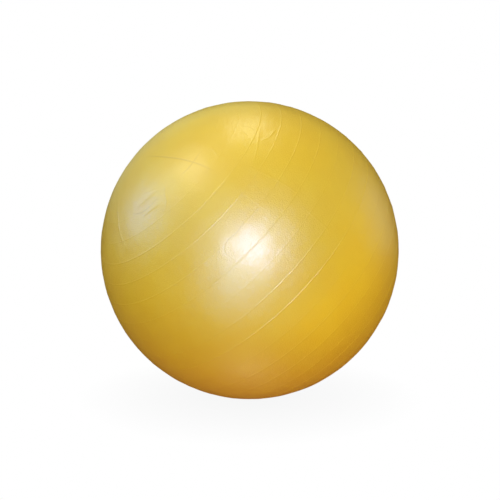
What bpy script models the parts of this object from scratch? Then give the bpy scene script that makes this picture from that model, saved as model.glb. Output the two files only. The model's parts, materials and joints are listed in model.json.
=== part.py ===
"""Inflated exercise ball with raised ribs and a push-in valve, standing on the floor.

Metres, +Z up. The origin is on the floor, straight under the ball's centre.
The ribs are parallel circles about a tilted rib axis, and the valve is at that axis's lower end.
"""

import math

import bmesh
import bpy
from mathutils import Vector

# Ball
BALL_DIAMETER = 0.450  # across the rib crests
WALL = 0.0011
FLAT_RADIUS = 0.030  # of the patch that the ball's own weight presses flat on the floor
CAP_ROWS = 4  # rows of faces from the last rib to the pole
SEGMENTS = 48

# Ribs
RIB_HEIGHT = 0.00025
RIB_WIDTH = 0.0022
RIB_PITCH = math.radians(7.44)
RIBS_EACH_SIDE = 8  # of the one on the equator
RIB_AXIS_TILT = math.radians(47.0)  # from vertical
RIB_AXIS_TURN = math.radians(205.4)  # about +Z, from +X

# Valve, as radii about its own axis and depths below the ball's surface
GAP = 0.0003  # between pieces that touch on the real ball
HOLE_RADIUS = 0.0090  # through the skin
SKIN_RING_RADIUS = 0.0240  # a ring of points on the skin, just outside the flange
SKIN_DROP = 0.0002  # how far the curved skin has fallen away at the hole's rim
FLANGE_RADIUS = 0.0160
FLANGE_DROP = 0.0006  # the flange's top slopes, as the skin over it does
FLANGE_THICKNESS = 0.0016
FLANGE_EDGE = 0.0008  # its thickness at the edge
TUBE_RADIUS = 0.0075
TUBE_DEPTH = 0.0205
BORE_RADIUS = 0.0045
RECESS_RADIUS = 0.0072  # the plug's head sits in it
RECESS_DEPTH = 0.0022

# Plug
HEAD_RADIUS = 0.0068
HEAD_BEVEL = 0.0006
HEAD_DOME = 0.0003
SHANK_RADIUS = 0.0036
BARB_RADIUS = 0.0043
BARB_LENGTH = 0.0030
BARB_STEP = 0.0003  # the short slope that holds against the seat
BARBS = 4
PLUG_DEPTH = 0.0190
TIP_TAPER = 0.0014
VALVE_SEGMENTS = 32

BASE_RADIUS = BALL_DIAMETER / 2 - RIB_HEIGHT
CENTRE_HEIGHT = math.sqrt(BASE_RADIUS**2 - FLAT_RADIUS**2)
RIB_AXIS = Vector(
    (
        math.sin(RIB_AXIS_TILT) * math.cos(RIB_AXIS_TURN),
        math.sin(RIB_AXIS_TILT) * math.sin(RIB_AXIS_TURN),
        math.cos(RIB_AXIS_TILT),
    )
)
BALL_CENTRE = Vector((0.0, 0.0, CENTRE_HEIGHT))


def clear_scene():
    for obj in list(bpy.data.objects):
        bpy.data.objects.remove(obj, do_unlink=True)


def material(name, colour, roughness, metallic=0.0):
    made = bpy.data.materials.new(name)
    made.use_nodes = True
    shader = made.node_tree.nodes["Principled BSDF"]
    shader.inputs["Base Color"].default_value = (*colour, 1.0)
    shader.inputs["Roughness"].default_value = roughness
    shader.inputs["Metallic"].default_value = metallic
    return made


def turned(profile, segments, closed):
    """A solid turned about Z from (radius, height) points. An open profile starts and ends on the axis."""
    mesh = bmesh.new()
    points = [mesh.verts.new((radius, 0.0, height)) for radius, height in profile]
    edges = [mesh.edges.new(pair) for pair in zip(points, points[1:])]
    if closed:
        edges.append(mesh.edges.new((points[-1], points[0])))
    bmesh.ops.spin(
        mesh,
        geom=points + edges,
        cent=(0.0, 0.0, 0.0),
        axis=(0.0, 0.0, 1.0),
        angle=2 * math.pi,
        steps=segments,
        use_merge=True,
    )
    bmesh.ops.remove_doubles(mesh, verts=mesh.verts, dist=1e-6)
    bmesh.ops.recalc_face_normals(mesh, faces=mesh.faces)
    return mesh


def place(name, mesh, finish, location=(0.0, 0.0, 0.0), parent=None):
    data = bpy.data.meshes.new(name)
    mesh.to_mesh(data)
    mesh.free()
    data.shade_smooth()
    data.set_sharp_from_angle(angle=math.radians(35))
    data.materials.append(finish)
    obj = bpy.data.objects.new(name, data)
    obj.location = location
    obj.parent = parent
    bpy.context.scene.collection.objects.link(obj)
    return obj


def on_sphere(radius, latitude):
    return radius * math.cos(latitude), radius * math.sin(latitude)


def outer_profile():
    """From the rib axis's upper pole, over every rib, to the rim of the valve hole at its lower pole."""
    half_width = RIB_WIDTH / 2 / BASE_RADIUS
    last_rib = RIBS_EACH_SIDE * RIB_PITCH
    cap_step = (math.pi / 2 - last_rib) / CAP_ROWS
    points = [(0.0, BASE_RADIUS)]
    points += [on_sphere(BASE_RADIUS, math.pi / 2 - row * cap_step) for row in range(1, CAP_ROWS)]
    for rib in range(RIBS_EACH_SIDE, -RIBS_EACH_SIDE - 1, -1):
        latitude = rib * RIB_PITCH
        points.append(on_sphere(BASE_RADIUS, latitude + half_width))
        points.append(on_sphere(BASE_RADIUS + RIB_HEIGHT, latitude))
        points.append(on_sphere(BASE_RADIUS, latitude - half_width))
    points += [on_sphere(BASE_RADIUS, -last_rib - row * cap_step) for row in range(1, CAP_ROWS)]
    points.append(on_sphere(BASE_RADIUS, -math.acos(SKIN_RING_RADIUS / BASE_RADIUS)))
    points.append(on_sphere(BASE_RADIUS, -math.acos(HOLE_RADIUS / BASE_RADIUS)))
    return points


def inner_profile():
    """From the rim of the valve hole back to the upper pole, smooth inside."""
    radius = BASE_RADIUS - WALL
    rows = round(math.pi / RIB_PITCH)
    points = [
        on_sphere(radius, -math.acos(HOLE_RADIUS / radius)),
        on_sphere(radius, -math.acos(SKIN_RING_RADIUS / radius)),
    ]
    points += [on_sphere(radius, row * math.pi / rows - math.pi / 2) for row in range(1, rows)]
    points.append((0.0, radius))
    return points


def press_flat(mesh, level, is_pressed):
    """Moves what lies below a level straight up to it, with new edges where the flat begins."""
    faces = [face for face in mesh.faces if all(is_pressed(point) for point in face.verts)]
    edges = list({edge for face in faces for edge in face.edges})
    points = list({point for face in faces for point in face.verts})
    bmesh.ops.bisect_plane(
        mesh,
        geom=points + edges + faces,
        dist=1e-7,
        plane_co=(0.0, 0.0, level),
        plane_no=(0.0, 0.0, 1.0),
    )
    for point in mesh.verts:
        if is_pressed(point) and point.co.z < level:
            point.co.z = level


def ball_shell(finish):
    """The hollow ribbed skin, open at the valve hole and flat where it rests."""
    mesh = turned(outer_profile() + inner_profile(), SEGMENTS, closed=False)
    upright = RIB_AXIS.to_track_quat("Z", "Y").to_matrix()
    bmesh.ops.transform(mesh, matrix=upright.to_4x4(), verts=mesh.verts)
    middle = BASE_RADIUS - WALL / 2
    press_flat(mesh, WALL - CENTRE_HEIGHT, lambda point: point.co.length < middle)
    press_flat(mesh, -CENTRE_HEIGHT, lambda point: point.co.length > middle)
    return place("ball_shell", mesh, finish, location=BALL_CENTRE)


def valve_seat(finish, parent):
    """A flanged tube, with a collar that fills the hole in the skin and a recess for the plug's head."""
    collar_radius = HOLE_RADIUS - GAP
    flange_top = -(WALL + SKIN_DROP + GAP)
    flange_edge = flange_top - FLANGE_DROP
    profile = [
        (BORE_RADIUS, -TUBE_DEPTH),
        (TUBE_RADIUS, -TUBE_DEPTH),
        (TUBE_RADIUS, flange_edge - FLANGE_THICKNESS),
        (FLANGE_RADIUS, flange_edge - FLANGE_EDGE),
        (FLANGE_RADIUS, flange_edge),
        (collar_radius, flange_top),
        (collar_radius, -SKIN_DROP),
        (RECESS_RADIUS, -SKIN_DROP),
        (RECESS_RADIUS, -RECESS_DEPTH),
        (BORE_RADIUS, -RECESS_DEPTH),
    ]
    return place("valve_seat", turned(profile, VALVE_SEGMENTS, closed=True), finish, parent=parent)


def valve_plug(finish, parent):
    """A domed head over a shank whose barbs slope in towards the tip."""
    head_under = GAP - RECESS_DEPTH
    profile = [
        (0.0, HEAD_DOME - SKIN_DROP),
        (HEAD_RADIUS / 2, HEAD_DOME / 2 - SKIN_DROP),
        (HEAD_RADIUS - HEAD_BEVEL, -SKIN_DROP),
        (HEAD_RADIUS, -SKIN_DROP - HEAD_BEVEL),
        (HEAD_RADIUS, head_under),
        (SHANK_RADIUS, head_under),
    ]
    first_barb = head_under - BARB_LENGTH
    for barb in range(BARBS):
        top = first_barb - barb * BARB_LENGTH
        profile += [(SHANK_RADIUS, top), (BARB_RADIUS, top - BARB_STEP)]
    profile += [
        (SHANK_RADIUS, first_barb - BARBS * BARB_LENGTH),
        (SHANK_RADIUS, TIP_TAPER - PLUG_DEPTH),
        (SHANK_RADIUS - TIP_TAPER, -PLUG_DEPTH),
        (0.0, -PLUG_DEPTH),
    ]
    return place("valve_plug", turned(profile, VALVE_SEGMENTS, closed=False), finish, parent=parent)


def main():
    clear_scene()
    skin = material("pearl_yellow_pvc", (0.72, 0.50, 0.06), 0.28)
    insert = material("translucent_yellow_pvc", (0.62, 0.45, 0.10), 0.40)
    stopper = material("white_plastic", (0.80, 0.79, 0.75), 0.35)
    # The valve's frame: on the skin at the rib axis's lower pole, with its local +Z pointing out of the ball.
    valve = bpy.data.objects.new("valve_frame", None)
    valve.location = BALL_CENTRE - BASE_RADIUS * RIB_AXIS
    valve.rotation_euler = (-RIB_AXIS).to_track_quat("Z", "Y").to_euler()
    bpy.context.scene.collection.objects.link(valve)
    ball_shell(skin)
    valve_seat(insert, valve)
    valve_plug(stopper, valve)


main()
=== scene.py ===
"""Inflated exercise ball in pearl yellow PVC, with raised ribs, fold creases and a push-in valve.

Metres, +Z up, in the CAD model's frame. Latitudes and longitudes are about the rib axis: latitude 90 is
its upper pole, the valve is at -90, and longitude 0 is the side nearest the camera.
"""

import json
import math

import bmesh
import bpy
import numpy as np
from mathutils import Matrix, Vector
from mathutils.kdtree import KDTree


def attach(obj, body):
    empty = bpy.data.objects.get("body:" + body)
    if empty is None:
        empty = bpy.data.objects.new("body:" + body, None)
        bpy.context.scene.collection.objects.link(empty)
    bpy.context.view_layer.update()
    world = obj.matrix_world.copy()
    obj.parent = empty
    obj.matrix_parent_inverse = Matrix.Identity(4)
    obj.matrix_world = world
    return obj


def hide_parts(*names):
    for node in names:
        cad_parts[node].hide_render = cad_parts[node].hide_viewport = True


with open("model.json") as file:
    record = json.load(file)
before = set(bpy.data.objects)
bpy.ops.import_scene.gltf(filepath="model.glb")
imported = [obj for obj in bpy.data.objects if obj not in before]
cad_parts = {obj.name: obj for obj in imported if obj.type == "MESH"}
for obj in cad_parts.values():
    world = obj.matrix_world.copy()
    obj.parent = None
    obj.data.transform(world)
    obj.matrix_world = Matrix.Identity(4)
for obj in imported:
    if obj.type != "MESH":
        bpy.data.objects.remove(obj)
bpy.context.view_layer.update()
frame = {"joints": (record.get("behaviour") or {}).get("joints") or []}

# Camera
VIEW_ELEVATION = math.radians(6.0)
VIEW_DISTANCE = 1.402  # from the ball's centre
LENS = 66.05
SENSOR = 36.0
SHIFT = (0.0006, 0.0003)  # a third of a pixel, to centre the ball as the photo has it
FRONT = np.array((0.0, -math.cos(VIEW_ELEVATION), math.sin(VIEW_ELEVATION)))

# Ball
BALL_DIAMETER = 0.450  # across the rib crests
RIB_HEIGHT = 0.00025
RIB_WIDTH = 0.0022
RIB_PITCH = math.radians(7.44)
RIBS_EACH_SIDE = 8  # of the one on the equator
# Each rib's height as a share of RIB_HEIGHT, by its number up from the equator. The others are at 1.
RIB_SHARES = {
    8: 0.3, 7: 0.35, 6: 0.66, 5: 0.66, 4: 0.8, 3: 0.74, 2: 0.38, 1: 0.73,
    -1: 0.45, -2: 0.9, -3: 0.8, -4: 0.7,
}
# Where a rib is worn down: longitude and reach in degrees, and the share that is worn away
RIB_WORN = {4: (-4, 14, 0.7)}
RIB_LEAN = 0.2  # how much higher than this the ribs stand at longitude 90, and lower at -90
RIB_ROWS = (-1.5, -1.0, -0.66, -0.33, 0.0, 0.33, 0.66, 1.0, 1.5)  # in half widths
GAP_ROWS = 3  # rows of points between two ribs
CAP_ROWS = 14  # from the last rib to the pole
SEGMENTS = 232
WALL = 0.0011
FLAT_RADIUS = 0.030  # of the patch that rests on the floor
FLAT_BLEND = 0.0004  # how softly the skin bends on to the floor
INNER_SEGMENTS = 72
INNER_ROWS = 36
BASE_RADIUS = BALL_DIAMETER / 2 - RIB_HEIGHT
CENTRE = np.array((0.0, 0.0, math.sqrt(BASE_RADIUS**2 - FLAT_RADIUS**2)))

# Valve, as radii about its own axis and depths below the skin
VALVE_AXIS = np.array(frame["joints"][0]["axis"])
HOLE_RADIUS = 0.0090
RIM_ROUNDING = 0.0003
BEAD_RADIUS = 0.0170  # of the moulded ring round the valve
BEAD_WIDTH = 0.0009
BEAD_HEIGHT = 0.00035
VALVE_ROWS = (0.030, 0.025, 0.0215, 0.0195, 0.0186, 0.0178, 0.0170, 0.0162, 0.0154, 0.0145, 0.0130, 0.0115,
              0.0102, 0.0096, 0.0093, 0.0091, 0.0090)

# Creases
CREASE_STEP = 0.0005
CREASE_REACH = 4.0  # in crease widths
CREASE_FADE = 0.6  # below 1, a crease keeps its height until nearer its ends
CREASE_EDGE = 0.0013  # longest edge of a face on a crease
CREASE_REFINED = 0.0025  # how far from a crease the faces are that small
FOLD_DEPTH_FOR_FULL_PAINTED_SHADE = -0.0002  # a fold pressed in this deep gets the darkest painted shade in its bottom

# Axes that latitudes and longitudes are measured from
UP = -VALVE_AXIS
TOWARDS = FRONT - UP * (FRONT @ UP)
TOWARDS /= np.linalg.norm(TOWARDS)
ACROSS = np.cross(UP, TOWARDS)


def directions(latitudes, longitudes):
    """Unit vectors at latitudes and longitudes in radians."""
    level = np.cos(latitudes)[..., None] * (
        np.cos(longitudes)[..., None] * TOWARDS + np.sin(longitudes)[..., None] * ACROSS
    )
    return level + np.sin(latitudes)[..., None] * UP


# ---- creases ----

# (latitude, longitude) points in degrees, height in metres (negative for a fold pressed in, which also gets
# painted shade), half width in metres
FRONT_CREASES = (
    (((83, -14), (79.5, -1), (73.3, 8.1), (66.5, 13.2), (60.5, 15.6), (55.1, 16.6), (50, 16.6)),
     -0.00020, 0.0010),
    (((73, -80), (66, -68), (61, -63), (53.7, -56.7), (48.4, -51.5)), 0.00026, 0.0013),
    (((43, 26.6), (36, 27.4), (29, 27.8), (21, 27.6)), 0.00014, 0.0010),
    (((17, 24.4), (11, 24.2), (4, 24)), 0.00010, 0.0010),
    (((38, 15.6), (33, 15.2), (26.5, 15)), 0.00008, 0.0010),
    (((40, 29), (41.7, 38), (43, 45), (43.9, 54)), 0.00026, 0.0010),
    (((41.8, 43.5), (39.8, 48), (38.4, 54.5)), 0.00044, 0.0013),
    (((47, 44), (48.6, 47), (51, 48.5)), 0.00024, 0.0013),
    (((45.5, 49), (47.4, 51.5), (50.5, 52)), 0.00024, 0.0013),
    (((36.6, -5.2), (35, -6.8), (33, -8.2), (29.8, -8)), 0.00010, 0.0008),
    (((31, 9), (29.9, 4), (29.7, 0.5), (30, -3), (29.3, -5.6), (27.5, -7.3), (24.4, -6.7)),
     -0.00013, 0.0007),
    (((30.8, 3), (31.4, -2), (30.5, -6.6), (28, -8.7), (25.2, -8.5)), 0.00005, 0.0007),
    (((18.4, 8), (18.2, 3), (16.8, -2), (16.4, -5)), 0.00004, 0.0008),
    (((13.2, 6), (13, 1), (13.6, -4)), 0.00004, 0.0008),
    (((60, -43), (58.6, -35), (58.5, -28), (58.9, -23), (59.2, -17)), -0.00016, 0.0011),
    (((60.9, -37), (61.2, -31), (61.5, -24), (61.5, -19)), 0.00055, 0.0020),
    (((56.8, -33), (57, -28), (56.8, -22), (56.6, -18)), 0.00050, 0.0018),
    (((61.5, -9), (58.5, -12.2), (54.9, -14.7), (52.5, -19.5)), 0.00018, 0.0012),
    (((65, -31), (64, -23), (62.4, -14)), 0.00018, 0.0012),
    (((52, 25), (54.5, 28), (57, 31)), 0.00026, 0.0011),
    (((61.5, 6), (60.6, 11), (61.4, 22)), 0.00014, 0.0010),
    (((59.6, 3), (59.2, 12), (59.6, 26)), -0.00014, 0.0010),
    (((57.4, 3), (58.4, 7), (57, 12)), 0.00018, 0.0010),
)
HIDDEN_CREASES = 26
HIDDEN_HEIGHTS = (-0.00025, 0.00012, 0.00018, 0.00028)
HIDDEN_WIDTHS = (0.0009, 0.0012)
HIDDEN_POINTS = (3, 7)  # at least the first number, and fewer than the second
HIDDEN_STEPS = (0.05, 0.16)  # radians from one point to the next
HIDDEN_TURN = 0.35  # how sharply a crease may bend at each point, in radians
HIDDEN_WOBBLE = 0.3  # how far one bend may differ from the rest
SIDE_LIMIT = 0.25  # how far round to the front the hidden creases may start
CREASE_SEED = 7


def smooth_path(knots):
    """Unit vectors about CREASE_STEP apart on a smooth path through the knots."""
    ends = [2 * knots[0] - knots[1], *knots, 2 * knots[-1] - knots[-2]]
    path = []
    for before, start, stop, after in zip(ends, ends[1:], ends[2:], ends[3:]):
        count = max(2, round(BASE_RADIUS * np.linalg.norm(stop - start) / CREASE_STEP))
        t = (np.arange(count) / count)[:, None]
        path.append(
            start
            + t * (stop - before) / 2
            + t**2 * (2 * before - 5 * start + 4 * stop - after) / 2
            + t**3 * (3 * start - before - 3 * stop + after) / 2
        )
    path = np.concatenate(path)
    return path / np.linalg.norm(path, axis=1)[:, None]


def front_creases():
    creases = []
    for knots, height, width in FRONT_CREASES:
        latitudes, longitudes = np.radians(np.array(knots, float)).T
        creases.append((smooth_path(directions(latitudes, longitudes)), height, width))
    return creases


def hidden_creases():
    """Creases like the front ones on the sides and the back: a slowly turning walk from a random point."""
    draw = np.random.RandomState(CREASE_SEED)
    creases = []
    while len(creases) < HIDDEN_CREASES:
        here = draw.normal(size=3)
        here /= np.linalg.norm(here)
        heading = np.cross(here, draw.normal(size=3))
        heading /= np.linalg.norm(heading)
        step = draw.uniform(*HIDDEN_STEPS)
        turning = draw.uniform(-HIDDEN_TURN, HIDDEN_TURN)
        count = draw.randint(*HIDDEN_POINTS)
        height = draw.choice(HIDDEN_HEIGHTS)
        width = draw.uniform(*HIDDEN_WIDTHS)
        if here @ FRONT > SIDE_LIMIT:
            continue
        knots = []
        for _ in range(count):
            knots.append(here)
            turn = turning + draw.uniform(-HIDDEN_WOBBLE, HIDDEN_WOBBLE)
            side = np.cross(here, heading)
            heading = heading * math.cos(turn) + side * math.sin(turn)
            ahead = here * math.cos(step) + heading * math.sin(step)
            heading = heading * math.cos(step) - here * math.sin(step)
            here = ahead
        creases.append((smooth_path(knots), height, width))
    return creases


def crease_relief(points, creases):
    """The height that the creases add at each unit vector, and the share of painted shade in a fold's
    bottom, from 0 to 1.
    """
    relief = np.zeros(len(points))
    depth = np.zeros(len(points))
    for path, height, width in creases:
        reach = CREASE_REACH * width / BASE_RADIUS
        low, high = path.min(axis=0) - reach, path.max(axis=0) + reach
        near = np.flatnonzero(np.all((points > low) & (points < high), axis=1))
        if not len(near):
            continue
        gaps = np.linalg.norm(points[near][:, None] - path[None], axis=2)
        closest = gaps.argmin(axis=1)
        distance = gaps.min(axis=1) * BASE_RADIUS / width
        along = np.sin(np.pi * (closest + 0.5) / len(path)) ** CREASE_FADE
        profile = along * np.exp(-(distance**2))
        relief[near] += height * profile
        # Folds pressed in get painted shade in their bottom, darker the deeper they are.
        if height < 0:
            depth[near] = np.maximum(depth[near], profile * min(1.0, height / FOLD_DEPTH_FOR_FULL_PAINTED_SHADE))
    return relief, depth


# ---- the skin's surface ----

WAVES = ((0.034, 0.00011, 14), (0.019, 0.00004, 14))  # wavelength, height and number of plane waves
WAVE_SEED = 3


def soft_waves(points):
    """Low uneven swelling of the skin, from plane waves in many directions."""
    draw = np.random.RandomState(WAVE_SEED)
    swelling = np.zeros(len(points))
    for wavelength, height, count in WAVES:
        for _ in range(count):
            along = draw.normal(size=3)
            along *= 2 * np.pi * BASE_RADIUS / wavelength / np.linalg.norm(along)
            swelling += height / math.sqrt(count) * np.sin(points @ along + draw.uniform(0, 2 * np.pi))
    return swelling


def rib_relief(points):
    """Rounded ridges of uneven height, one every RIB_PITCH, with none on the caps."""
    latitudes = np.arcsin(np.clip(points @ UP, -1.0, 1.0))
    nearest = np.clip(np.round(latitudes / RIB_PITCH), -RIBS_EACH_SIDE, RIBS_EACH_SIDE)
    offset = np.abs(latitudes - nearest * RIB_PITCH) * BASE_RADIUS / (RIB_WIDTH / 2)
    shares = np.array([RIB_SHARES.get(int(rib), 1.0) for rib in nearest])
    longitudes = np.arctan2(points @ ACROSS, points @ TOWARDS)
    for rib, (longitude, reach, worn) in RIB_WORN.items():
        apart = np.degrees(longitudes) - longitude
        shares[nearest == rib] *= (1 - worn * np.exp(-((apart / reach) ** 4)))[nearest == rib]
    height = RIB_HEIGHT * shares * (1 + RIB_LEAN * (points @ ACROSS))
    return height * np.cos(np.pi / 2 * np.minimum(offset, 1.0)) ** 2


def valve_relief(points):
    """The moulded ring round the valve and the rounded rim of its hole."""
    from_axis = BASE_RADIUS * np.linalg.norm(np.cross(points, VALVE_AXIS), axis=1)
    bead = BEAD_HEIGHT * np.exp(-(((from_axis - BEAD_RADIUS) / BEAD_WIDTH) ** 2))
    into_rim = np.clip((HOLE_RADIUS + RIM_ROUNDING - from_axis) / RIM_ROUNDING, 0.0, 1.0)
    relief = bead - RIM_ROUNDING * (1 - np.sqrt(1 - into_rim**2))
    return np.where(points @ VALVE_AXIS > 0, relief, 0.0)


def calm_at_valve(points):
    """0 at the valve's hole and 1 away from it, so that no wave or crease bends its rim."""
    from_axis = BASE_RADIUS * np.linalg.norm(np.cross(points, VALVE_AXIS), axis=1)
    away = np.clip((from_axis - BEAD_RADIUS) / BEAD_RADIUS, 0.0, 1.0)
    return np.where(points @ VALVE_AXIS > 0, away * away * (3 - 2 * away), 1.0)


def rested(points, level):
    """Points with those below a level eased up on to it."""
    depth = points[:, 2] - level
    points[:, 2] = level + (depth + np.sqrt(depth**2 + FLAT_BLEND**2)) / 2
    return points


def outer_points(points, folds):
    """The skin's outer surface, from unit vectors and the height that the creases add at each."""
    relief = calm_at_valve(points) * (soft_waves(points) + folds) + rib_relief(points) + valve_relief(points)
    return rested(CENTRE + points * (BASE_RADIUS + relief)[:, None], 0.0)


def inner_points(points):
    return rested(CENTRE + points * (BASE_RADIUS - WALL), WALL)


def outer_latitudes():
    """From the pole to the rim of the valve hole."""
    half_width = RIB_WIDTH / 2 / BASE_RADIUS
    last = RIBS_EACH_SIDE * RIB_PITCH
    edge = RIB_ROWS[-1] * half_width
    rows = list(np.linspace(math.pi / 2, last + edge, CAP_ROWS + 1)[:-1])
    for rib in range(RIBS_EACH_SIDE, -RIBS_EACH_SIDE - 1, -1):
        rows += [rib * RIB_PITCH - share * half_width for share in RIB_ROWS]
        if rib > -RIBS_EACH_SIDE:
            below = (rib - 1) * RIB_PITCH + edge
            rows += list(np.linspace(rib * RIB_PITCH - edge, below, GAP_ROWS + 2)[1:-1])
    valve_start = -math.acos(VALVE_ROWS[0] / BASE_RADIUS)
    rows += list(np.linspace(-last - edge, valve_start, CAP_ROWS)[1:-1])
    rows += [-math.acos(radius / BASE_RADIUS) for radius in VALVE_ROWS]
    return rows


def add_rows(mesh, latitudes, segments):
    """Joins a pole and rows of points into faces, as unit vectors. Returns the points."""
    longitudes = np.arange(segments) * 2 * np.pi / segments
    pole = mesh.verts.new(UP)
    rows = []
    for latitude in latitudes[1:]:
        rows.append([mesh.verts.new(p) for p in directions(np.full(segments, latitude), longitudes)])
    for a in range(segments):
        b = (a + 1) % segments
        mesh.faces.new((pole, rows[0][a], rows[0][b]))
        for upper, lower in zip(rows, rows[1:]):
            mesh.faces.new((upper[a], lower[a], lower[b], upper[b]))
    return [pole] + [point for row in rows for point in row]


def refine(mesh, creases):
    """Splits the edges near the creases until none is longer than CREASE_EDGE."""
    samples = np.concatenate([path[::2] for path, _, _ in creases])
    tree = KDTree(len(samples))
    for index, sample in enumerate(samples):
        tree.insert(sample, index)
    tree.balance()
    for length in (4 * CREASE_EDGE, 2 * CREASE_EDGE, CREASE_EDGE):
        reach = (CREASE_REFINED + length / 2) / BASE_RADIUS
        near = {point for point in mesh.verts if tree.find(point.co)[2] < reach}
        edges = [
            edge
            for edge in mesh.edges
            if edge.calc_length() * BASE_RADIUS > length and (edge.verts[0] in near or edge.verts[1] in near)
        ]
        bmesh.ops.subdivide_edges(mesh, edges=edges, cuts=1, use_grid_fill=True)
        bmesh.ops.triangulate(mesh, faces=[face for face in mesh.faces if len(face.verts) > 4])
        for point in mesh.verts:
            point.co.normalize()


def skin_mesh():
    """The hollow skin as one closed solid, with a coarser inside and an open valve hole."""
    creases = front_creases() + hidden_creases()
    mesh = bmesh.new()
    # Each point's share of painted shade in the folds, read by the skin's material
    painted_groove_shade = mesh.verts.layers.float.new("painted_groove_shade")
    add_rows(mesh, outer_latitudes(), SEGMENTS)
    refine(mesh, creases)
    outside = list(mesh.verts)
    units = np.array([point.co for point in outside])
    folds, painted_shade_shares = crease_relief(units, creases)
    for point, place, depth in zip(outside, outer_points(units, folds), painted_shade_shares):
        point.co = place
        point[painted_groove_shade] = depth
    hole = -math.acos(HOLE_RADIUS / (BASE_RADIUS - WALL))
    inside = add_rows(mesh, np.linspace(math.pi / 2, hole, INNER_ROWS), INNER_SEGMENTS)
    units = np.array([point.co for point in inside])
    for point, place in zip(inside, inner_points(units)):
        point.co = place
    bmesh.ops.bridge_loops(mesh, edges=[edge for edge in mesh.edges if edge.is_boundary])
    bmesh.ops.recalc_face_normals(mesh, faces=mesh.faces)
    return mesh


# ---- the valve ----

GAP = 0.0003  # between pieces that touch on the real ball
SKIN_DROP = 0.0002  # how far the curved skin has fallen away at the hole's rim
FLANGE_RADIUS = 0.0160
FLANGE_DROP = 0.0006
FLANGE_THICKNESS = 0.0016
FLANGE_EDGE = 0.0008
TUBE_RADIUS = 0.0075
TUBE_DEPTH = 0.0205
BORE_RADIUS = 0.0045
RECESS_RADIUS = 0.0072
RECESS_DEPTH = 0.0022
HEAD_RADIUS = 0.0068
HEAD_BEVEL = 0.0006
HEAD_DOME = 0.0003
SHANK_RADIUS = 0.0036
BARB_RADIUS = 0.0043
BARB_LENGTH = 0.0030
BARB_STEP = 0.0003
BARBS = 4
PLUG_DEPTH = 0.0190
TIP_TAPER = 0.0014
VALVE_SEGMENTS = 96
EDGE_ROUNDING = 0.00025
ROUNDING_STEPS = 4
ROUNDING_SHARE = 0.4  # the most of a short side that a rounded corner takes up
MERGE_DISTANCE = 1e-7


def rounded(profile, closed):
    """The profile with each corner replaced by a small curve. An open profile keeps its ends."""
    made = []
    for index, (radius, height) in enumerate(profile):
        if not closed and index in (0, len(profile) - 1):
            made.append((radius, height))
            continue
        corner = np.array((radius, height))
        before = np.array(profile[index - 1]) - corner
        after = np.array(profile[(index + 1) % len(profile)]) - corner
        length_before, length_after = np.linalg.norm(before), np.linalg.norm(after)
        reach = min(EDGE_ROUNDING, ROUNDING_SHARE * length_before, ROUNDING_SHARE * length_after)
        start = corner + before * reach / length_before
        stop = corner + after * reach / length_after
        for t in np.linspace(0.0, 1.0, ROUNDING_STEPS):
            made.append(tuple((1 - t) ** 2 * start + 2 * t * (1 - t) * corner + t**2 * stop))
    return made


def turned(profile, closed):
    """A solid turned about Z from (radius, height) points. An open profile starts and ends on the axis."""
    mesh = bmesh.new()
    points = [mesh.verts.new((radius, 0.0, height)) for radius, height in rounded(profile, closed)]
    edges = [mesh.edges.new(pair) for pair in zip(points, points[1:])]
    if closed:
        edges.append(mesh.edges.new((points[-1], points[0])))
    bmesh.ops.spin(
        mesh,
        geom=points + edges,
        cent=(0.0, 0.0, 0.0),
        axis=(0.0, 0.0, 1.0),
        angle=2 * math.pi,
        steps=VALVE_SEGMENTS,
        use_merge=True,
    )
    bmesh.ops.remove_doubles(mesh, verts=mesh.verts, dist=MERGE_DISTANCE)
    bmesh.ops.recalc_face_normals(mesh, faces=mesh.faces)
    return mesh


def insert_mesh():
    """A flanged tube, with a collar that fills the hole in the skin and a recess for the plug's head."""
    collar_radius = HOLE_RADIUS - GAP
    flange_top = -(WALL + SKIN_DROP + GAP)
    flange_edge = flange_top - FLANGE_DROP
    profile = [
        (BORE_RADIUS, -TUBE_DEPTH),
        (TUBE_RADIUS, -TUBE_DEPTH),
        (TUBE_RADIUS, flange_edge - FLANGE_THICKNESS),
        (FLANGE_RADIUS, flange_edge - FLANGE_EDGE),
        (FLANGE_RADIUS, flange_edge),
        (collar_radius, flange_top),
        (collar_radius, -SKIN_DROP),
        (RECESS_RADIUS, -SKIN_DROP),
        (RECESS_RADIUS, -RECESS_DEPTH),
        (BORE_RADIUS, -RECESS_DEPTH),
    ]
    return turned(profile, closed=True)


def stopper_mesh():
    """A domed head over a shank whose barbs slope in towards the tip."""
    head_under = GAP - RECESS_DEPTH
    profile = [
        (0.0, HEAD_DOME - SKIN_DROP),
        (HEAD_RADIUS / 2, HEAD_DOME / 2 - SKIN_DROP),
        (HEAD_RADIUS - HEAD_BEVEL, -SKIN_DROP),
        (HEAD_RADIUS, -SKIN_DROP - HEAD_BEVEL),
        (HEAD_RADIUS, head_under),
        (SHANK_RADIUS, head_under),
    ]
    first_barb = head_under - BARB_LENGTH
    for barb in range(BARBS):
        top = first_barb - barb * BARB_LENGTH
        profile += [(SHANK_RADIUS, top), (BARB_RADIUS, top - BARB_STEP)]
    profile += [
        (SHANK_RADIUS, first_barb - BARBS * BARB_LENGTH),
        (SHANK_RADIUS, TIP_TAPER - PLUG_DEPTH),
        (SHANK_RADIUS - TIP_TAPER, -PLUG_DEPTH),
        (0.0, -PLUG_DEPTH),
    ]
    return turned(profile, closed=False)


# ---- materials ----

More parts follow.
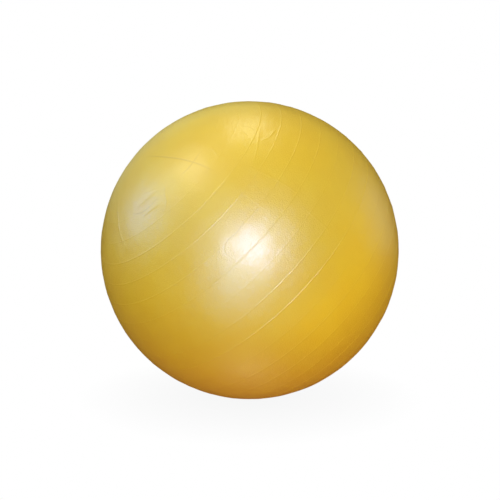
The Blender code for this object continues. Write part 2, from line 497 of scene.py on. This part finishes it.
# Colours are linear, noise scales are features per metre, and bumps are in metres.
NOISE_MIDDLE = (0.3, 0.7)  # where most of a noise's values lie
SKIN_COLOURS = ((0.85, 0.55, 0.001), (0.86, 0.58, 0.004))
BLOTCH_SCALE = 22.0
PEARL_COLOUR = (0.95, 0.75, 0.05)
PEARL_SCALE = 900.0
PEARL_SHARE = 0.06
FOLD_PAINTED_SHADE_COLOUR = (0.70, 0.44, 0.003)  # painted shade in the bottom of a fold, darker than the skin
SKIN_ROUGHNESS = (0.46, 0.50)
SHEEN_SCALE = 40.0
PEARL_IOR = 2.1
COAT_ROUGHNESS = 0.28
SWELL_SCALE, SWELL_BUMP = 110.0, 0.00014
PEBBLE_SCALE, PEBBLE_BUMP = 850.0, 0.00026


def new_material(name):
    made = bpy.data.materials.new(name)
    made.use_nodes = True
    tree = made.node_tree
    return made, tree, tree.nodes["Principled BSDF"]


def noise(tree, scale, detail=2.0, roughness=0.5):
    """A noise texture in object coordinates. Scale is features per metre."""
    place = tree.nodes.new("ShaderNodeTexCoord")
    texture = tree.nodes.new("ShaderNodeTexNoise")
    texture.inputs["Scale"].default_value = scale
    texture.inputs["Detail"].default_value = detail
    texture.inputs["Roughness"].default_value = roughness
    tree.links.new(place.outputs["Object"], texture.inputs["Vector"])
    return texture.outputs["Fac"]


def spread(tree, value, low, high):
    """Maps the middle of a noise's range to low..high."""
    node = tree.nodes.new("ShaderNodeMapRange")
    node.inputs["From Min"].default_value, node.inputs["From Max"].default_value = NOISE_MIDDLE
    node.inputs["To Min"].default_value = low
    node.inputs["To Max"].default_value = high
    tree.links.new(value, node.inputs["Value"])
    return node.outputs["Result"]


MIX_FIRST, MIX_SECOND, MIX_RESULT = 6, 7, 2  # the places of a Mix node's colour sockets


def blend(tree, share, first, second):
    """A colour between two others, each a colour or another node's output."""
    node = tree.nodes.new("ShaderNodeMix")
    node.data_type = "RGBA"
    tree.links.new(share, node.inputs["Factor"])
    for socket, colour in ((node.inputs[MIX_FIRST], first), (node.inputs[MIX_SECOND], second)):
        if isinstance(colour, tuple):
            socket.default_value = (*colour, 1.0)
        else:
            tree.links.new(colour, socket)
    return node.outputs[MIX_RESULT]


def bumped(tree, shader, layers):
    """Stacks bumps on the shader's normal. Each layer is (height output, distance in metres)."""
    normal = None
    for height, distance in layers:
        node = tree.nodes.new("ShaderNodeBump")
        node.inputs["Distance"].default_value = distance
        tree.links.new(height, node.inputs["Height"])
        if normal:
            tree.links.new(normal, node.inputs["Normal"])
        normal = node.outputs["Normal"]
    tree.links.new(normal, shader.inputs["Normal"])
    return normal


def skin_material():
    """Pearl yellow PVC: a saturated body under a clear, slightly pebbled gloss, with painted shade in the
    bottom of its folds.
    """
    made, tree, shader = new_material("pearl_yellow_pvc")
    blotches = spread(tree, noise(tree, BLOTCH_SCALE, detail=3.0), 0.0, 1.0)
    body = blend(tree, blotches, *SKIN_COLOURS)
    flakes = spread(tree, noise(tree, PEARL_SCALE, detail=1.0), 0.0, PEARL_SHARE)
    colour = blend(tree, flakes, body, PEARL_COLOUR)
    # Painted shade in the bottom of pressed-in folds, from the mesh's attribute
    painted_groove_shade = tree.nodes.new("ShaderNodeAttribute")
    painted_groove_shade.attribute_name = "painted_groove_shade"
    colour = blend(tree, painted_groove_shade.outputs["Fac"], colour, FOLD_PAINTED_SHADE_COLOUR)
    tree.links.new(colour, shader.inputs["Base Color"])
    sheen = spread(tree, noise(tree, SHEEN_SCALE), *SKIN_ROUGHNESS)
    tree.links.new(sheen, shader.inputs["Roughness"])
    shader.inputs["IOR"].default_value = PEARL_IOR
    shader.inputs["Specular IOR Level"].default_value = 1.0
    shader.inputs["Coat Weight"].default_value = 1.0
    shader.inputs["Coat Roughness"].default_value = COAT_ROUGHNESS
    pebbles = noise(tree, PEBBLE_SCALE, roughness=0.6)
    swells = noise(tree, SWELL_SCALE)
    normal = bumped(tree, shader, ((swells, SWELL_BUMP), (pebbles, PEBBLE_BUMP)))
    tree.links.new(normal, shader.inputs["Coat Normal"])
    return made


def moulded_material(name, *, clouds, colours, gloss, roughness, soft, grain, bump):
    """A cloudy plastic that lets some light in. Clouds, gloss and grain are noise scales."""
    made, tree, shader = new_material(name)
    cloudy = spread(tree, noise(tree, clouds, detail=3.0), 0.0, 1.0)
    tree.links.new(blend(tree, cloudy, *colours), shader.inputs["Base Color"])
    tree.links.new(spread(tree, noise(tree, gloss), *roughness), shader.inputs["Roughness"])
    weight, radius, scale = soft
    shader.inputs["Subsurface Weight"].default_value = weight
    shader.inputs["Subsurface Radius"].default_value = radius
    shader.inputs["Subsurface Scale"].default_value = scale
    bumped(tree, shader, ((noise(tree, grain), bump),))
    return made


def insert_material():
    """Soft translucent yellow PVC, moulded smooth."""
    return moulded_material(
        "soft_yellow_pvc",
        clouds=260.0,
        colours=((0.58, 0.40, 0.07), (0.68, 0.50, 0.13)),
        gloss=900.0,
        roughness=(0.36, 0.46),
        soft=(0.3, (1.0, 0.7, 0.2), 0.002),
        grain=1400.0,
        bump=0.00003,
    )


def stopper_material():
    """White moulded polyethylene, slightly waxy."""
    return moulded_material(
        "white_plastic",
        clouds=300.0,
        colours=((0.76, 0.75, 0.70), (0.83, 0.82, 0.79)),
        gloss=1100.0,
        roughness=(0.32, 0.42),
        soft=(0.15, (1.0, 0.9, 0.8), 0.0015),
        grain=1800.0,
        bump=0.00002,
    )


# ---- the object ----

SHARP_ANGLE = math.radians(50)  # edges sharper than this aren't shaded smooth


def add_piece(name, mesh, finish, body, node):
    """A smooth-shaded object that rides on a CAD body and stands for one of its nodes."""
    data = bpy.data.meshes.new(name)
    mesh.to_mesh(data)
    mesh.free()
    data.shade_smooth()
    data.set_sharp_from_angle(angle=SHARP_ANGLE)
    data.materials.append(finish)
    piece = bpy.data.objects.new(name, data)
    bpy.context.scene.collection.objects.link(piece)
    if node != "ball_shell":
        piece.location = CENTRE + VALVE_AXIS * BASE_RADIUS
        piece.rotation_mode = "QUATERNION"
        piece.rotation_quaternion = Vector(VALVE_AXIS).to_track_quat("Z", "Y")
    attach(piece, body)
    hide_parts(node)


def add_ball():
    add_piece("ball_skin", skin_mesh(), skin_material(), "ball", "ball_shell")
    add_piece("valve_insert", insert_mesh(), insert_material(), "ball", "valve_seat")
    add_piece("valve_stopper", stopper_mesh(), stopper_material(), "plug", "valve_plug")


# ---- stage, light and camera ----

# name: (azimuth, elevation, distance, width, height, radiance as red, green, blue), in degrees and metres.
# Azimuth 0 is the camera's side. The floor doesn't hold back the light from below.
LIGHTS = {
    "flash": (1, 8.5, 1.50, 0.20, 0.20, (27, 34, 78)),
    "soft_front": (1, 6, 2.4, 1.4, 1.4, (1.75, 1.95, 0.7)),
    "paper": (-11, -19, 2.4, 0.6, 0.6, (1.0, 3.0, 5.6)),
    "window": (-89, 21, 2.2, 0.5, 0.5, (0.0, 0.6, 5.8)),
    "window_glow": (-87, 21, 2.2, 1.3, 1.3, (0.40, 0.92, 0.78)),
    "lamp_left": (-71, 53, 2.2, 0.34, 0.34, (12.8, 12.0, 9.3)),
    "lamp_back": (184, 77.5, 2.2, 0.28, 0.18, (22, 23.5, 16)),
    "wall_right": (114, 12, 2.2, 1.1, 1.1, (0.28, 0.42, 0.42)),
    "wall_left": (-150, 20, 2.2, 1.2, 1.2, (0.26, 0.30, 0.22)),
    "wall_behind": (-162, 41, 2.2, 1.4, 1.0, (0.24, 0.33, 0.18)),
    "side_right": (84, -2, 2.4, 1.6, 2.4, (0.68, 0.41, 0.01)),
    "bounce_below": (0, -85, 2.0, 0.6, 0.6, (0.85, 0.68, 0.60)),
    "bounce_right": (62, -38, 2.2, 1.3, 1.3, (0.88, 0.58, 0.0)),
    "bounce_left": (-60, -25, 2.4, 1.6, 1.4, (0.26, 0.15, 0.0)),
    "bounce_front": (0, -42, 2.4, 2.6, 1.6, (0.36, 0.38, 0.02)),
    "fill_back": (180, -18, 2.4, 1.6, 1.6, (1.1, 1.05, 0.68)),
}
UNREFLECTED = ("fill_back",)  # lights that shine on the ball but aren't mirrored in its gloss
# The room's light by the height of a direction, from -1 straight down to 1 straight up
SURROUND = (
    (-1.0, (0.40, 0.09, 0.02)),
    (-0.5, (0.26, 0.10, 0.02)),
    (-0.12, (0.33, 0.22, 0.02)),
    (0.12, (0.19, 0.18, 0.04)),
    (0.6, (0.47, 0.44, 0.12)),
    (1.0, (0.90, 0.61, 0.06)),
)
DARK_BEHIND = 0.75  # share of the room's light that is missing straight behind the ball
DARK_FROM = 0.7  # how far a direction points straight back where that begins
FLOOR_SIZE = 24.0
FLOOR_PAINTED_SHADOW_LEVEL = 0.92  # how bright the floor glows where the ball hides it most, at the darkest of its painted contact shadow
FLOOR_SHADE_REACH = 0.12
FLOOR_SHADE_SAMPLES = 16


def toward(azimuth, elevation):
    """The unit vector at an azimuth from the camera's side and an elevation, in degrees."""
    a, e = math.radians(azimuth), math.radians(elevation)
    return Vector((math.sin(a) * math.cos(e), -math.cos(a) * math.cos(e), math.sin(e)))


def add_light(name, azimuth, elevation, distance, width, height, radiance):
    """A soft rectangular light, aimed at the ball's centre."""
    data = bpy.data.lights.new(name, "AREA")
    data.shape = "RECTANGLE"
    data.size = width
    data.size_y = height
    strength = max(radiance)
    data.energy = strength * math.pi * width * height
    data.color = [part / strength for part in radiance]
    light = bpy.data.objects.new(name, data)
    away = toward(azimuth, elevation)
    light.location = Vector(CENTRE) + away * distance
    light.rotation_euler = away.to_track_quat("Z", "Y").to_euler()
    light.visible_camera = False
    light.visible_glossy = name not in UNREFLECTED
    bpy.context.scene.collection.objects.link(light)


def add_surround():
    """White to the camera. To the ball, a soft room with a warm floor that is dark straight behind it."""
    world = bpy.data.worlds.new("surround")
    world.use_nodes = True
    bpy.context.scene.world = world
    tree = world.node_tree
    background = tree.nodes["Background"]
    place = tree.nodes.new("ShaderNodeTexCoord")
    split = tree.nodes.new("ShaderNodeSeparateXYZ")
    tree.links.new(place.outputs["Generated"], split.inputs["Vector"])
    share = tree.nodes.new("ShaderNodeMapRange")
    share.inputs["From Min"].default_value = -1.0
    tree.links.new(split.outputs["Z"], share.inputs["Value"])
    ramp = tree.nodes.new("ShaderNodeValToRGB")
    ramp.color_ramp.interpolation = "LINEAR"
    stops = ramp.color_ramp.elements
    while len(stops) < len(SURROUND):
        stops.new(0.5)
    for stop, (height, colour) in zip(stops, SURROUND):
        stop.position = (height + 1) / 2
        stop.color = (*colour, 1.0)
    tree.links.new(share.outputs["Result"], ramp.inputs["Fac"])
    behind = tree.nodes.new("ShaderNodeMapRange")
    behind.inputs["From Min"].default_value = DARK_FROM
    behind.inputs["To Max"].default_value = DARK_BEHIND
    tree.links.new(split.outputs["Y"], behind.inputs["Value"])
    room = blend(tree, behind.outputs["Result"], ramp.outputs["Color"], (0.0, 0.0, 0.0))
    seen = tree.nodes.new("ShaderNodeLightPath")
    colour = blend(tree, seen.outputs["Is Camera Ray"], room, (1.0, 1.0, 1.0))
    tree.links.new(colour, background.inputs["Color"])


def floor_material():
    """Glowing white, with a painted contact shadow: its glow is dimmed by ambient occlusion where the ball
    keeps the room out, not by any lamp.
    """
    made, tree, shader = new_material("white_floor")
    # Painted contact shadow: ambient occlusion dims the floor's glow near the ball.
    openness = tree.nodes.new("ShaderNodeAmbientOcclusion")
    openness.samples = FLOOR_SHADE_SAMPLES
    openness.inputs["Distance"].default_value = FLOOR_SHADE_REACH
    glow = tree.nodes.new("ShaderNodeMapRange")
    glow.inputs["To Min"].default_value = FLOOR_PAINTED_SHADOW_LEVEL
    glow.inputs["To Max"].default_value = 1.0
    tree.links.new(openness.outputs["AO"], glow.inputs["Value"])
    tree.links.new(glow.outputs["Result"], shader.inputs["Emission Strength"])
    shader.inputs["Emission Color"].default_value = (1.0, 1.0, 1.0, 1.0)
    shader.inputs["Base Color"].default_value = (0.0, 0.0, 0.0, 1.0)
    shader.inputs["Specular IOR Level"].default_value = 0.0
    return made


def add_floor():
    mesh = bmesh.new()
    bmesh.ops.create_grid(mesh, x_segments=1, y_segments=1, size=FLOOR_SIZE / 2)
    data = bpy.data.meshes.new("floor")
    mesh.to_mesh(data)
    mesh.free()
    data.materials.append(floor_material())
    floor = bpy.data.objects.new("floor", data)
    floor.visible_diffuse = False
    floor.visible_glossy = False
    floor.visible_shadow = False
    bpy.context.scene.collection.objects.link(floor)


def add_camera():
    data = bpy.data.cameras.new("camera")
    data.lens = LENS
    data.sensor_width = SENSOR
    data.shift_x, data.shift_y = SHIFT
    camera = bpy.data.objects.new("camera", data)
    camera.location = CENTRE + FRONT * VIEW_DISTANCE
    camera.rotation_mode = "QUATERNION"
    camera.rotation_quaternion = Vector(FRONT).to_track_quat("Z", "Y")
    bpy.context.scene.collection.objects.link(camera)
    bpy.context.scene.camera = camera


add_ball()
add_floor()
add_surround()
for light_name, light in LIGHTS.items():
    add_light(light_name, *light)
add_camera()
bpy.context.scene.view_settings.view_transform = "Standard"
